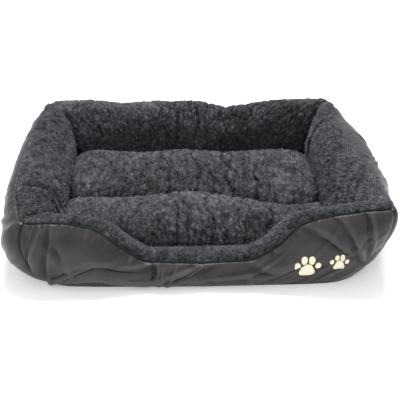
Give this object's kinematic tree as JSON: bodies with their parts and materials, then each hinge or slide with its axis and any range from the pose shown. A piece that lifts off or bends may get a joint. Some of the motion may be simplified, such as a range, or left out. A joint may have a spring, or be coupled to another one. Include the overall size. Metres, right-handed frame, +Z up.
{
  "type": "pet bolster bed",
  "caption": "Rectangular bolster bed for a pet: stuffed plush-lined walls with a low front entry, a woven outer shell and a loose two-lobe cushion.",
  "frame": {"origin": "middle of the underside, on the ground", "axes": "+X along the bed's length to the right as seen from the entry, +Y towards the rear wall, +Z up"},
  "size_m": [0.8, 0.6005, 0.18],
  "materials": {
    "plush": "matte",
    "coated_oxford": "satin",
    "base_cloth": "matte",
    "fibre_fill": "matte",
    "lining_cloth": "matte",
    "print_film": "matte",
    "zip_tape": "matte",
    "zip_coil": "satin",
    "zip_metal": "satin"
  },
  "bodies": {
    "nest": {"front_outer_panel": "coated_oxford", "front_liner": "plush", "front_bolster_fill": "fibre_fill", "rear_outer_panel": "coated_oxford", "rear_liner": "plush", "rear_bolster_fill": "fibre_fill", "left_outer_panel": "coated_oxford", "left_liner": "plush", "left_bolster_fill": "fibre_fill", "right_outer_panel": "coated_oxford", "right_liner": "plush", "right_bolster_fill": "fibre_fill", "front_motif": "print_film", "base_panel": "base_cloth", "floor_wadding": "fibre_fill", "floor_lining": "lining_cloth"},
    "cushion": {"cushion_top_panel": "plush", "cushion_bottom_panel": "lining_cloth", "cushion_fill_rear": "fibre_fill", "cushion_fill_front": "fibre_fill", "zip_tapes": "zip_tape", "zip_coil": "zip_coil", "zip_stops": "zip_metal"},
    "zip_slider": {"zip_slider": "zip_metal"}
  },
  "joints": [
    {"name": "cushion_lift", "type": "slide", "parent": "nest", "child": "cushion", "axis": [0, 0, 1], "range_m": [0, 0.25]},
    {"name": "zip_slider_travel", "type": "slide", "parent": "cushion", "child": "zip_slider", "axis": [1, 0, 0], "range_m": [0, 0.388]}
  ]
}
